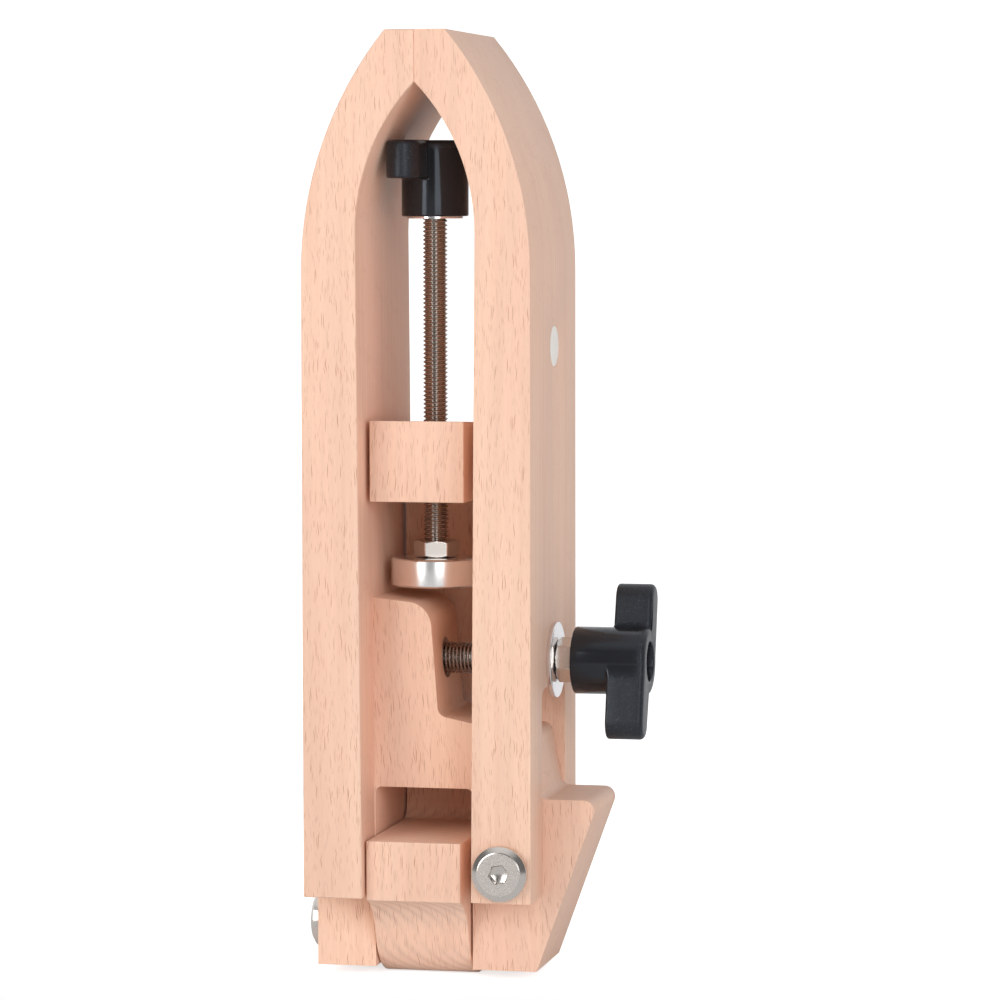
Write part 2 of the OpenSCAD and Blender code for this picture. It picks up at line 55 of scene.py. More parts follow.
# The photographer's view: a long lens from the right front, a little above the clamp,
# with the clamp standing upright left of the middle of a square picture.
VIEW_AZIMUTH = math.radians(12.228)
VIEW_ELEVATION = math.radians(3.974)
VIEW_ROLL = math.radians(-0.085)
VIEW_DISTANCE = 1027.19 * MM
VIEW_TARGET = Vector((14.33, 0.0, 113.05)) * MM
LENS_PER_SENSOR = 4.3171
SENSOR_MM = 36.0

view_back = Vector((math.sin(VIEW_AZIMUTH) * math.cos(VIEW_ELEVATION),
                    -math.cos(VIEW_AZIMUTH) * math.cos(VIEW_ELEVATION),
                    math.sin(VIEW_ELEVATION)))
camera = bpy.data.objects.new("camera", bpy.data.cameras.new("camera"))
scene.collection.objects.link(camera)
camera.data.sensor_width = SENSOR_MM
camera.data.lens = LENS_PER_SENSOR * SENSOR_MM
camera.data.clip_start = 0.01
camera.data.clip_end = 20.0
camera.location = VIEW_TARGET + VIEW_DISTANCE * view_back
camera.rotation_euler = view_back.to_track_quat("Z", "Y").to_euler()
camera.rotation_euler.rotate_axis("Z", VIEW_ROLL)
scene.camera = camera
scene.view_settings.view_transform = "Standard"


# The studio: a pale paper sweep that runs up behind the clamp, a large soft box at the left front, a
# narrow one at the right front, and a wide cool fill from the right that gloss doesn't show. The paper
# ends just in front of the clamp, like a table's edge, so the frame can be seen below when it folds out.
SWEEP_FRONT = -0.031
SWEEP_BACK = 0.9
SWEEP_TOP = 3.0
SWEEP_RADIUS = 0.8
SWEEP_HALF = 3.5
PAPER_COLOUR = (0.93, 0.93, 0.93, 1.0)
PAPER_LIFT = 0.7
PAPER_GLOSS = 0.4
PAPER_GLOSS_FULL = 0.4


def mesh_piece(name, points, faces, material):
    """A smooth-shaded mesh object at the origin, from an array of points and an array of faces."""
    mesh = bpy.data.meshes.new(name)
    mesh.from_pydata(np.asarray(points, float).tolist(), [], np.asarray(faces, int).tolist())
    mesh.shade_smooth()
    mesh.materials.append(material)
    piece = bpy.data.objects.new(name, mesh)
    scene.collection.objects.link(piece)
    return piece


def grid_faces(rows, columns, around=True):
    """Quads between neighbouring rows of a grid of points; around joins the last column to the first."""
    row = np.arange(rows - 1)[:, None] * columns
    column = np.arange(columns if around else columns - 1)[None, :]
    beside = (column + 1) % columns
    corners = [row + column, row + beside, row + columns + beside, row + columns + column]
    return np.stack(corners, -1).reshape(-1, 4)


def add_node(tree, kind, **settings):
    """A shader node of that kind; in_X = value sets input X, and any other name sets the node itself."""
    node = tree.nodes.new(kind)
    for key, value in settings.items():
        if key.startswith("in_"):
            socket = key[3:]
            node.inputs[int(socket) if socket.isdigit() else socket.replace("_", " ")].default_value = value
        else:
            setattr(node, key, value)
    return node


class NodeMaths:
    """Short ways to add maths, noise and colour nodes to one node tree."""

    def __init__(self, tree):
        self.tree = tree

    def feed(self, node, socket, value):
        if isinstance(value, bpy.types.NodeSocket):
            self.tree.links.new(value, node.inputs[socket])
        else:
            node.inputs[socket].default_value = value

    def split(self, vector, kind="ShaderNodeSeparateXYZ"):
        node = add_node(self.tree, kind)
        self.feed(node, 0, vector)
        return node.outputs

    def join(self, x, y, z=0.0):
        node = add_node(self.tree, "ShaderNodeCombineXYZ")
        for socket, value in enumerate((x, y, z)):
            self.feed(node, socket, value)
        return node.outputs[0]

    def sum(self, operation, *values, clamp=False):
        node = add_node(self.tree, "ShaderNodeMath", operation=operation, use_clamp=clamp)
        for socket, value in enumerate(values):
            self.feed(node, socket, value)
        return node.outputs[0]

    def ramp(self, value, low, high, start=0.0, end=1.0, kind="SMOOTHSTEP"):
        node = add_node(self.tree, "ShaderNodeMapRange", interpolation_type=kind,
                        in_1=low, in_2=high, in_3=start, in_4=end)
        self.feed(node, 0, value)
        return node.outputs[0]

    def stretch(self, vector, x, y, z):
        node = add_node(self.tree, "ShaderNodeVectorMath", operation="MULTIPLY", in_1=(x, y, z))
        self.feed(node, 0, vector)
        return node.outputs[0]

    def noise(self, vector, detail=2.0, rough=0.5):
        node = add_node(self.tree, "ShaderNodeTexNoise", in_Scale=1.0, in_Detail=detail, in_Roughness=rough)
        self.feed(node, "Vector", vector)
        return node.outputs["Fac"]

    def mix(self, share, first, second, kind="RGBA"):
        node = add_node(self.tree, "ShaderNodeMix", data_type=kind)
        sockets, output = ((0, 6, 7), 2) if kind == "RGBA" else ((0, 2, 3), 0)
        for socket, value in zip(sockets, (share, first, second)):
            self.feed(node, socket, value)
        return node.outputs[output]

    def place(self, kind="Object"):
        return add_node(self.tree, "ShaderNodeTexCoord").outputs[kind]


def new_material(name):
    """A node material; its Principled shader and its NodeMaths are returned with it."""
    material = bpy.data.materials.new(name)
    material.use_nodes = True
    return material, material.node_tree.nodes["Principled BSDF"], NodeMaths(material.node_tree)


rise = np.linspace(0, math.pi / 2, 24)
sweep_y = SWEEP_BACK + SWEEP_RADIUS * np.sin(rise)
sweep_y = np.concatenate([[SWEEP_FRONT], sweep_y, [SWEEP_BACK + SWEEP_RADIUS]])
sweep_z = np.concatenate([[0.0], SWEEP_RADIUS * (1 - np.cos(rise)), [SWEEP_TOP]])
sweep_points = np.stack([np.stack([np.full_like(sweep_y, side), sweep_y, sweep_z], -1)
                         for side in (SWEEP_HALF, -SWEEP_HALF)], 1).reshape(-1, 3)
paper, shader, m = new_material("pale_paper")
shader.inputs["Base Color"].default_value = PAPER_COLOUR
shader.inputs["Roughness"].default_value = 0.9
shader.inputs["Specular IOR Level"].default_value = 0.0
shader.inputs["Emission Color"].default_value = (1.0, 1.0, 1.0, 1.0)
rays = add_node(m.tree, "ShaderNodeLightPath").outputs
behind = m.ramp(m.split(m.place())[1], 0.0, PAPER_GLOSS_FULL, 0.0, PAPER_GLOSS, kind="LINEAR")
glossed = m.sum("MULTIPLY", rays["Is Glossy Ray"], behind)
m.feed(shader, "Emission Strength", m.sum("MULTIPLY_ADD", rays["Is Camera Ray"], PAPER_LIFT, glossed))
mesh_piece("paper_sweep", sweep_points, grid_faces(len(sweep_y), 2, around=False), paper)


# The surround is white to the camera. Gloss sees it white behind the clamp and overhead and dim in
# front, where the room is dark, and it lights the clamp weakly, least from the front. From below it
# glows as paper would. Each change runs between two values of the heading, which has length one.
SURROUND_FRONT = 0.17
SURROUND_BACK = 0.55
SURROUND_SPAN = (-1.0, 0.2)
ROOM_DARK = 0.16
ROOM_SPAN = (-0.15, 0.35)
ROOM_TOP = 0.8
TOP_SPAN = (0.55, 0.85)
FLOOR_GLOW = 0.6
FLOOR_SPAN = (0.0, -0.08)

world = bpy.data.worlds.new("surround")
scene.world = world
world.use_nodes = True
surround = world.node_tree.nodes["Background"]
surround.inputs["Color"].default_value = (1.0, 1.0, 1.0, 1.0)
m = NodeMaths(world.node_tree)
rays = add_node(m.tree, "ShaderNodeLightPath").outputs
heading = m.split(m.place("Generated"))
room = m.ramp(heading[1], *ROOM_SPAN, ROOM_DARK, 1.0, kind="LINEAR")
overhead = m.ramp(heading[2], *TOP_SPAN, 0.0, ROOM_TOP, kind="LINEAR")
below = m.ramp(heading[2], *FLOOR_SPAN, 0.0, FLOOR_GLOW, kind="LINEAR")
weak = m.ramp(heading[1], *SURROUND_SPAN, SURROUND_FRONT, SURROUND_BACK, kind="LINEAR")
for_light = m.sum("MAXIMUM", weak, below)
for_gloss = m.sum("MAXIMUM", m.sum("MAXIMUM", room, overhead), below)
unseen = m.mix(rays["Is Glossy Ray"], for_light, for_gloss, kind="FLOAT")
m.feed(surround, "Strength", m.mix(rays["Is Camera Ray"], unseen, 1.0, kind="FLOAT"))


def soft_box(name, place, size, watts, colour=(1.0, 1.0, 1.0), in_gloss=True):
    """A rectangular lamp of a width and height that stands upright and faces the clamp."""
    lamp = bpy.data.lights.new(name, "AREA")
    lamp.shape = "RECTANGLE"
    lamp.size, lamp.size_y = size
    lamp.energy = watts
    lamp.color = colour
    holder = bpy.data.objects.new(name, lamp)
    scene.collection.objects.link(holder)
    holder.location = place
    holder.rotation_euler = Vector((place[0], place[1], 0.0)).to_track_quat("Z", "Y").to_euler()
    holder.visible_glossy = in_gloss


soft_box("left_box", (-0.67, -0.99, 0.45), (0.69, 0.88), 7.4)
soft_box("right_box", (0.45, -1.11, 0.45), (0.42, 0.88), 2.8)
soft_box("side_fill", (1.24, -1.17, 0.45), (1.0, 1.2), 10.8, (0.85, 0.97, 1.13), in_gloss=False)


# The beech boards: both arms, the base and the folding frame. Each is sawn from a steamed beech
# plank with its grain upright, sanded with just eased edges, and finished with a thin clear oil.
BEECH_PALE = (0.940, 0.625, 0.455, 1.0)
BEECH_PINK = (0.855, 0.530, 0.390, 1.0)
BEECH_STREAK = (0.760, 0.440, 0.300, 1.0)
# Paler tone for faces that look up or down: partly the end grain's own colour, partly painted bounce light
# from below.
BEECH_END_GRAIN_AND_BOUNCE = (0.910, 0.650, 0.505, 1.0)
BEECH_RING = (0.660, 0.425, 0.325, 1.0)
BEECH_FLECK = (0.440, 0.165, 0.075, 1.0)
RING_SPACING = 2.2 * MM
RING_SLANT = 0.012
RING_DRIFT = 4.0 * MM
FLECK_SLANT = 0.35
WAVER_SLOW = 1.2 * MM
WAVER_QUICK = 0.8 * MM


def beech_figure():
    """Beech figure from object coordinates, with the grain along Z.

    Rings are a wave of the distance from the pith, bent by noise. Flecks are the near zones of cell
    points in a plane that is narrow across the grain and long along it; a cell's own random values
    say whether it has a fleck and how dark, and they fade on faces that look along X, where the cut
    is radial. Faces that look up or down are end grain, which shows the rings more and takes a paler
    tone: partly the end grain's own colour and partly painted light, standing in for light bounced up
    from the floor.
    """
    group = bpy.data.node_groups.new("beech_figure", "ShaderNodeTree")
    group.interface.new_socket("Vector", in_out="INPUT", socket_type="NodeSocketVector")
    group.interface.new_socket("Normal", in_out="INPUT", socket_type="NodeSocketVector")
    for title in ("Pith X", "Pith Y", "Fleck", "Ring", "Shift", "Lean", "End"):
        group.interface.new_socket(title, in_out="INPUT", socket_type="NodeSocketFloat")
    group.interface.new_socket("Color", in_out="OUTPUT", socket_type="NodeSocketColor")
    group.interface.new_socket("Roughness", in_out="OUTPUT", socket_type="NodeSocketFloat")
    group.interface.new_socket("Height", in_out="OUTPUT", socket_type="NodeSocketFloat")
    given = group.nodes.new("NodeGroupInput").outputs
    out = group.nodes.new("NodeGroupOutput")
    m = NodeMaths(group)

    x, y, z = m.split(given["Vector"])
    facing = m.split(given["Normal"])
    front = m.ramp(m.sum("ABSOLUTE", facing[1]), 0.25, 0.8)
    # Faces that look up or down; they take the paler tone, which is partly painted bounce light.
    end = m.ramp(m.sum("ABSOLUTE", facing[2]), 0.15, 0.8)

    leaning = m.sum("MULTIPLY_ADD", z, given["Lean"], x)
    place = m.join(m.sum("ADD", leaning, given["Shift"]), m.sum("ADD", y, given["Shift"]), z)
    slow = m.sum("MULTIPLY", m.sum("SUBTRACT", m.noise(m.stretch(place, 90, 90, 35)), 0.5), WAVER_SLOW)
    quick = m.sum("SUBTRACT", m.noise(m.stretch(place, 500, 200, 330), 1.0), 0.5)
    bend = add_node(group, "ShaderNodeVectorMath", operation="ADD")
    m.feed(bend, 0, place)
    m.feed(bend, 1, m.join(m.sum("MULTIPLY_ADD", quick, WAVER_QUICK, slow), 0.0))
    bent = bend.outputs[0]

    dx = m.sum("SUBTRACT", x, given["Pith X"])
    dy = m.sum("SUBTRACT", y, given["Pith Y"])
    from_pith = m.sum("SQRT", m.sum("ADD", m.sum("MULTIPLY", dx, dx), m.sum("MULTIPLY", dy, dy)))
    drift = m.sum("MULTIPLY", m.sum("SUBTRACT", m.noise(m.stretch(place, 40, 40, 8), 1.0), 0.5), RING_DRIFT)
    ring_at = m.sum("ADD", m.sum("ADD", from_pith, drift), m.sum("MULTIPLY", z, RING_SLANT))
    wave = m.sum("SINE", m.sum("MULTIPLY", ring_at, 2 * math.pi / RING_SPACING))
    ring = m.sum("MULTIPLY", m.sum("POWER", m.sum("MULTIPLY_ADD", wave, 0.5, 0.5), 1.8), given["Ring"])
    ring = m.sum("MULTIPLY", ring, m.sum("MULTIPLY_ADD", end, 0.32, 0.14))

    streak = m.noise(m.stretch(bent, 1700, 1200, 45), 3.0, 0.6)
    band = m.noise(m.stretch(bent, 420, 300, 7), 2.0, 0.5)
    cloud = m.noise(m.stretch(place, 60, 45, 9), 2.0)
    pore = m.noise(m.stretch(place, 5200, 5200, 2600), 1.0)

    across = m.split(bent)[0]
    up = m.sum("MULTIPLY_ADD", y, FLECK_SLANT, z)

    def flecks(wide, long, thick, kept):
        cells = add_node(group, "ShaderNodeTexVoronoi", voronoi_dimensions="2D",
                         in_Scale=1.0, in_Randomness=1.0)
        m.feed(cells, "Vector", m.join(m.sum("MULTIPLY", across, wide), m.sum("MULTIPLY", up, long)))
        mark = m.split(cells.outputs["Color"], "ShaderNodeSeparateColor")
        present = m.ramp(mark[0], 1 - kept, 1 - 0.85 * kept)
        dark = m.sum("MULTIPLY", present, m.ramp(mark[1], 0.0, 1.0, 0.35, 1.0))
        return m.sum("MULTIPLY", m.ramp(cells.outputs["Distance"], 0.5 * thick, thick, 1.0, 0.0), dark)

    small = m.sum("MULTIPLY", flecks(wide=3200, long=190, thick=0.22, kept=0.50), 0.75)
    fleck = m.sum("MAXIMUM", flecks(wide=2000, long=80, thick=0.18, kept=0.55), small)
    fleck = m.sum("MULTIPLY", fleck, m.sum("MULTIPLY_ADD", front, 0.85, 0.10))
    fleck = m.sum("MULTIPLY", fleck, given["Fleck"], clamp=True)

    colour = m.mix(m.sum("MULTIPLY_ADD", cloud, 1.6, -0.40, clamp=True), BEECH_PALE, BEECH_PINK)
    streaked = m.sum("MULTIPLY", m.sum("MULTIPLY_ADD", streak, 2.2, -0.75, clamp=True), 0.34)
    colour = m.mix(streaked, colour, BEECH_STREAK)
    colour = m.mix(m.sum("MULTIPLY", m.ramp(band, 0.46, 0.68), 0.20), colour, BEECH_STREAK)
    # Paler tone on faces that look up or down: end grain's own colour and partly painted light bounced up
    # from the floor.
    colour = m.mix(m.sum("MULTIPLY", end, given["End"]), colour, BEECH_END_GRAIN_AND_BOUNCE)
    colour = m.mix(ring, colour, BEECH_RING)
    colour = m.mix(m.sum("MULTIPLY", m.ramp(pore, 0.40, 0.75), 0.16), colour, BEECH_STREAK)
    colour = m.mix(m.sum("MULTIPLY", fleck, 0.75), colour, BEECH_FLECK)
    m.feed(out, "Color", colour)
    m.feed(out, "Roughness", m.sum("MULTIPLY_ADD", streak, 0.14, 0.46))
    height = m.sum("MULTIPLY_ADD", streak, 0.5, m.sum("MULTIPLY", pore, 0.3))
    m.feed(out, "Height", m.sum("SUBTRACT", height, fleck))
    return group


figure = beech_figure()


def beech_finish(name, **values):
    """Beech whose values are one board's inputs of the figure, so that no two boards match."""
    material, shader, m = new_material(name)
    wood = add_node(m.tree, "ShaderNodeGroup", node_tree=figure)
    for title, value in values.items():
        wood.inputs[title.replace("_", " ")].default_value = value
    bump = add_node(m.tree, "ShaderNodeBump", in_Strength=0.25, in_Distance=0.05 * MM)
    m.feed(wood, "Vector", m.place())
    m.feed(wood, "Normal", m.place("Normal"))
    m.feed(bump, "Height", wood.outputs["Height"])
    m.feed(shader, "Base Color", wood.outputs["Color"])
    m.feed(shader, "Roughness", wood.outputs["Roughness"])
    m.feed(shader, "Normal", bump.outputs["Normal"])
    shader.inputs["Specular IOR Level"].default_value = 0.30
    return material


def declare(piece, body, slot, *nodes):
    """Says which body the piece rides on and which nodes it stands for; the slot is not used."""
    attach(piece, body)
    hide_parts(*nodes)


def eased_board(node, body, ease, material):
    """The board's own solid with every sharp edge rounded off by ease, as sandpaper leaves it."""
    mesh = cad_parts[node].data.copy()
    work = bmesh.new()
    work.from_mesh(mesh)
    bmesh.ops.remove_doubles(work, verts=work.verts, dist=2e-6)
    bmesh.ops.dissolve_limit(work, angle_limit=math.radians(0.5), verts=work.verts, edges=work.edges)
    work.to_mesh(mesh)
    work.free()
    mesh.materials.clear()
    mesh.materials.append(material)
    mesh.shade_smooth()
    board = bpy.data.objects.new(node + "_board", mesh)
    scene.collection.objects.link(board)
    easing = board.modifiers.new("eased edges", "BEVEL")
    easing.width = ease
    easing.segments = 3
    easing.limit_method = "ANGLE"
    easing.angle_limit = math.radians(28)
    easing.harden_normals = True
    declare(board, body, "beech", node)


# The last value sets how far faces looking up or down take the paler tone, which is partly painted bounce
# light; it is largest on the frame, whose cove faces down.
eased_board("left_arm", "base", 0.4 * MM,
            beech_finish("beech_left_arm", Pith_X=-0.045, Pith_Y=0.110, Shift=0.31, Lean=0.01,
                         Fleck=1.1, Ring=1.0, End=0.2))
eased_board("right_arm", "right_arm", 0.4 * MM,
            beech_finish("beech_right_arm", Pith_X=0.060, Pith_Y=0.120, Shift=0.77, Lean=0.0,
                         Fleck=1.0, Ring=1.0, End=0.2))
eased_board("base_body", "base", 0.5 * MM,
            beech_finish("beech_base", Pith_X=-0.020, Pith_Y=0.140, Shift=1.43, Lean=0.05,
                         Fleck=1.1, Ring=1.0, End=0.4))
eased_board("folding_frame", "folding_frame", 0.8 * MM,
            beech_finish("beech_frame", Pith_X=0.050, Pith_Y=-0.075, Shift=2.17, Lean=-0.04,
                         Fleck=1.15, Ring=0.9, End=0.75))


# The needle magnet: a small disc with a pale, slightly worn coat, pressed into the right arm's outer
# face and flush with it. It holds the needles while both hands are at work.
MAGNET_ROUND = 0.3 * MM
COAT_PALE = (0.95, 0.86, 0.77, 1.0)
COAT_WORN = (0.87, 0.78, 0.69, 1.0)


def weld(piece, crease):
    """Joins points that coincide, turns the faces outwards, and keeps edges sharper than crease degrees."""
    work = bmesh.new()
    work.from_mesh(piece.data)
    bmesh.ops.remove_doubles(work, verts=work.verts, dist=1e-7)
    bmesh.ops.recalc_face_normals(work, faces=work.faces)
    work.to_mesh(piece.data)
    work.free()
    piece.data.set_sharp_from_angle(angle=math.radians(crease))


def ring_piece(name, rings, place, axis, material, crease=30):
    """A closed piece from rings of points round a local Z axis, laid along axis with its origin at place.

    A ring list starts and ends on the same ring, or at two poles.
    """
    rows, columns = rings.shape[:2]
    turned = np.array(Vector(axis).to_track_quat("Z", "Y").to_matrix())
    points = rings.reshape(-1, 3) @ turned.T + np.asarray(place, float)
    piece = mesh_piece(name, points, grid_faces(rows, columns), material)
    weld(piece, crease)
    return piece


def circle_rings(profile, columns=96):
    """Rings from rows of (radius, height); a radius may be one number or one number for each column."""
    angle = np.linspace(0, 2 * math.pi, columns, endpoint=False)
    return np.array([np.stack([r * np.cos(angle), r * np.sin(angle), h + 0 * angle], -1) for r, h in profile])


def rounded(profile, radius, steps=4):
    """An open profile with each inner corner replaced by a short curve.

    The curve is the quadratic mean (1-s)^2 a + 2s(1-s) corner + s^2 b of the corner and a point on each
    side of it, at the radius from it.
    """
    profile = np.asarray(profile, float)
    rows = [profile[0]]
    share = np.linspace(0, 1, steps + 1)[:, None]
    for before, corner, after in zip(profile, profile[1:], profile[2:]):
        a = corner + (before - corner) * min(0.5, radius / np.linalg.norm(before - corner))
        b = corner + (after - corner) * min(0.5, radius / np.linalg.norm(after - corner))
        rows.extend((1 - share) ** 2 * a + 2 * share * (1 - share) * corner + share ** 2 * b)
    return np.array(rows + [profile[-1]])


coat, shader, m = new_material("pale_coat")
wear = m.noise(m.stretch(m.place(), 900, 900, 900), 3.0)
m.feed(shader, "Base Color", m.mix(wear, COAT_PALE, COAT_WORN))
m.feed(shader, "Roughness", m.ramp(wear, 0.3, 0.7, 0.34, 0.50))
low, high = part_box("needle_magnet")
magnet_r, magnet_t = (high.z - low.z) / 2, high.x - low.x
magnet_rows = rounded([(0, 0), (magnet_r, 0), (magnet_r, magnet_t), (0, magnet_t)], MAGNET_ROUND)
magnet = ring_piece("needle_magnet_disc", circle_rings(magnet_rows),
                    (low.x, (low.y + high.y) / 2, (low.z + high.z) / 2), (1, 0, 0), coat)
declare(magnet, "right_arm", "magnet_face", "needle_magnet")


# The pivots: a nickel-plated bolt and sleeve nut through the right arm's foot, and a bolt with a washer
# and a threaded insert through the base. Their flat heads have a wide bevel and a 4 mm hexagon socket.
HEAD_RADIUS = 6.5 * MM
HEAD_THICK = 2.8 * MM
HEAD_FACE = 5.15 * MM
HEAD_COLUMNS = 144
SOCKET_AF = 4.0 * MM
SOCKET_DEEP = 2.2 * MM
SOCKET_TURN = math.radians(9)
BOLT_RADIUS = 3.0 * MM
SLEEVE_RADIUS = 4.0 * MM
SLEEVE_LENGTH = 12.0 * MM
SLEEVE_FLOOR = 2.75 * MM
THREAD_GAP = 0.05 * MM
SHANK_BEVEL = 0.5 * MM


def metal_finish(name, colour, roughness, spread=0.04, grain=2600.0, depth=0.002 * MM, stretch=(1, 1, 1)):
    """Metal whose roughness and surface follow fine noise; stretch lays the noise out in lines."""
    material, shader, m = new_material(name)
    speckle = m.noise(m.stretch(m.place(), *(grain * s for s in stretch)), 3.0)
    bump = add_node(m.tree, "ShaderNodeBump", in_Strength=0.3, in_Distance=depth)
    m.feed(bump, "Height", speckle)
    m.feed(shader, "Roughness", m.ramp(speckle, 0.25, 0.75, roughness - spread, roughness + spread))
    m.feed(shader, "Normal", bump.outputs["Normal"])
    shader.inputs["Base Color"].default_value = (*colour, 1.0)
    shader.inputs["Metallic"].default_value = 1.0
    return material


nickel = metal_finish("nickel_plate", (0.74, 0.69, 0.65), 0.19)
nickel_satin = metal_finish("nickel_plate_satin", (0.80, 0.735, 0.69), 0.27, spread=0.05, depth=0.005 * MM)


def hexagon(columns, across_flats, turn):
    """Distance from the middle to a hexagon's side, with one corner at turn from the first column.

    It is half the flats over the cosine of the angle off a flat's middle.
    """
    angle = np.linspace(0, 2 * math.pi, columns, endpoint=False) - turn
    return across_flats / 2 / np.cos(angle % (math.pi / 3) - math.pi / 6)


def pivot_head(name, place, direction, shank):
    """A head from the middle of its socket over its face and rim, and down the shank's rows.

    The rows are the socket's drilled floor, its side with a broken edge, the flat face, the wide bevel
    and the rim. The flat face is satin, from the turning, and the rest is bright.
    """
    side = hexagon(HEAD_COLUMNS, SOCKET_AF, SOCKET_TURN)
    floor = HEAD_THICK - SOCKET_DEEP
    rows = [(0.0, floor - 0.35 * MM), (0.4 * SOCKET_AF, floor), (side, floor + 0.15 * MM),
            (side, HEAD_THICK - 0.2 * MM), (side + 0.18 * MM, HEAD_THICK),
            (HEAD_FACE - 0.15 * MM, HEAD_THICK), (HEAD_FACE + 0.10 * MM, HEAD_THICK - 0.06 * MM),
            (HEAD_RADIUS - 0.14 * MM, HEAD_THICK - 0.80 * MM),
            (HEAD_RADIUS - 0.04 * MM, HEAD_THICK - 0.88 * MM),
            (HEAD_RADIUS, HEAD_THICK - 1.1 * MM), (HEAD_RADIUS, 0.25 * MM), (HEAD_RADIUS - 0.2 * MM, 0.0)]
    head = ring_piece(name, circle_rings(rows + shank, HEAD_COLUMNS), place, direction, nickel, crease=12)
    head.data.materials.append(nickel_satin)
    centres = np.empty(len(head.data.polygons) * 3, np.float32)
    head.data.polygons.foreach_get("center", centres)
    height = (centres.reshape(-1, 3) - np.asarray(place, float)) @ np.asarray(direction, float)
    head.data.polygons.foreach_set("material_index", (height > HEAD_THICK - 0.01 * MM).astype(np.int32))
    return head


def bolt_shank(length):
    """Rows of a plain shank of a length, closed at its end."""
    return [(BOLT_RADIUS, 0.0), (BOLT_RADIUS, SHANK_BEVEL - length), (BOLT_RADIUS - SHANK_BEVEL, -length),
            (0.0, -length)]


low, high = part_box("arm_pivot_bolt")
arm_x, arm_z = (low.x + high.x) / 2, (low.z + high.z) / 2
arm_bolt = pivot_head("arm_pivot_bolt_turned", (arm_x, low.y + HEAD_THICK, arm_z), (0, -1, 0),
                      bolt_shank(high.y - low.y - HEAD_THICK))
declare(arm_bolt, "right_arm", "nickel", "arm_pivot_bolt")

low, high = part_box("arm_pivot_nut")
bore = BOLT_RADIUS + THREAD_GAP
sleeve = [(SLEEVE_RADIUS, 0.0), (SLEEVE_RADIUS, -SLEEVE_LENGTH), (bore, -SLEEVE_LENGTH),
          (bore, -SLEEVE_FLOOR), (0.0, -SLEEVE_FLOOR)]
arm_nut = pivot_head("arm_pivot_nut_turned", (arm_x, high.y - HEAD_THICK, arm_z), (0, 1, 0), sleeve)
declare(arm_nut, "right_arm", "nickel", "arm_pivot_nut")

low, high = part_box("fold_pivot_bolt")
fold_z = (low.z + high.z) / 2
fold_bolt = pivot_head("fold_pivot_bolt_turned", (low.x + HEAD_THICK, 0, fold_z), (-1, 0, 0),
                       bolt_shank(high.x - low.x - HEAD_THICK))
declare(fold_bolt, "base", "nickel", "fold_pivot_bolt")

WASHER_ROUND = 0.25 * MM
WASHER_PLAY = 0.1 * MM
zinc = metal_finish("bright_zinc", (0.80, 0.78, 0.79), 0.18, spread=0.03)


def flat_washer(name, node, body, bore_radius):
    """A punched washer on its node's place along X, with its edges rolled slightly round."""
    low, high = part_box(node)
    r, t = (high.z - low.z) / 2, high.x - low.x
    loop = rounded([(bore_radius, t / 2), (bore_radius, 0), (r, 0), (r, t), (bore_radius, t),
                    (bore_radius, t / 2)], WASHER_ROUND)
    piece = ring_piece(name, circle_rings(loop), (low.x, 0, (low.z + high.z) / 2), (1, 0, 0), zinc)
    declare(piece, body, "zinc", node)


flat_washer("fold_pivot_washer_disc", "fold_pivot_washer", "base", BOLT_RADIUS + WASHER_PLAY)

brass = metal_finish("insert_brass", (0.72, 0.52, 0.26), 0.35, spread=0.08, grain=1500.0)


def keep_node(node, material):
    """The CAD node stays as it is and gets this material in all its slots."""
    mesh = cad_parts[node].data
    if not mesh.materials:
        mesh.materials.append(material)
    for i in range(len(mesh.materials)):
        mesh.materials[i] = material


for node in ("fold_pivot_insert", "table_screw_insert", "clamp_stud_insert", "clamp_knob_insert"):
    keep_node(node, brass)
keep_node("table_knob_insert", zinc)


# The table screw: a stainless M6 rod with a rolled thread, a turned aluminium pad on its lower end
# and a plated hexagon nut that locks the pad.
THREAD_PITCH = 1.0 * MM
THREAD_DEPTH = 0.56 * MM
THREAD_FLANK = 2.5
THREAD_CREST = 0.12
THREAD_ROWS = 9
ROD_COLUMNS = 32
PAD_BEVEL = 0.45 * MM
PAD_FLOOR = 2.3 * MM
PAD_ROUND = 0.15 * MM
NUT_AF = 9.5 * MM
NUT_CORNER = 0.567 * NUT_AF
NUT_END = 0.475 * NUT_AF
NUT_SINK = 0.4 * MM
NUT_COLUMNS = 288
PAD_NUT_TURN = math.radians(13)
CLAMP_NUT_TURN = math.radians(18)

stainless = metal_finish("stainless_thread", (0.48, 0.44, 0.41), 0.15)


def threaded_rod(name, node, axis, axis_index):
    """A rod whose radius is a cut-off V of the turn count: along / pitch less the angle's share of a turn.

    The first and last pitch are turned down to the thread's root, as a lead.
    """
    low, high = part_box(node)
    start = (np.array(low) + np.array(high)) / 2
    start[axis_index] = low[axis_index]
    length = high[axis_index] - low[axis_index]
    along = np.linspace(0, length, int(length / THREAD_PITCH * THREAD_ROWS) + 1)[:, None]
    angle = np.linspace(0, 2 * math.pi, ROD_COLUMNS, endpoint=False)[None, :]
    phase = (along / THREAD_PITCH - angle / (2 * math.pi)) % 1.0
    flank = np.clip(np.abs(phase - 0.5) * THREAD_FLANK - THREAD_CREST, 0, 1)
    lead = np.clip(np.minimum(along, length - along) / THREAD_PITCH, 0, 1)
    radius = BOLT_RADIUS - THREAD_DEPTH * (1 - lead + lead * (1 - flank))
    rings = np.stack([radius * np.cos(angle), radius * np.sin(angle), along + 0 * angle], -1)
    poles = np.zeros((2, 1, ROD_COLUMNS, 3))
    poles[1, ..., 2] = length
    return ring_piece(name, np.concatenate([poles[0], rings, poles[1]]), start, axis, stainless, crease=60)


table_rod = threaded_rod("table_screw_thread", "table_screw", (0, 0, 1), 2)
declare(table_rod, "table_screw", "stainless", "table_screw")

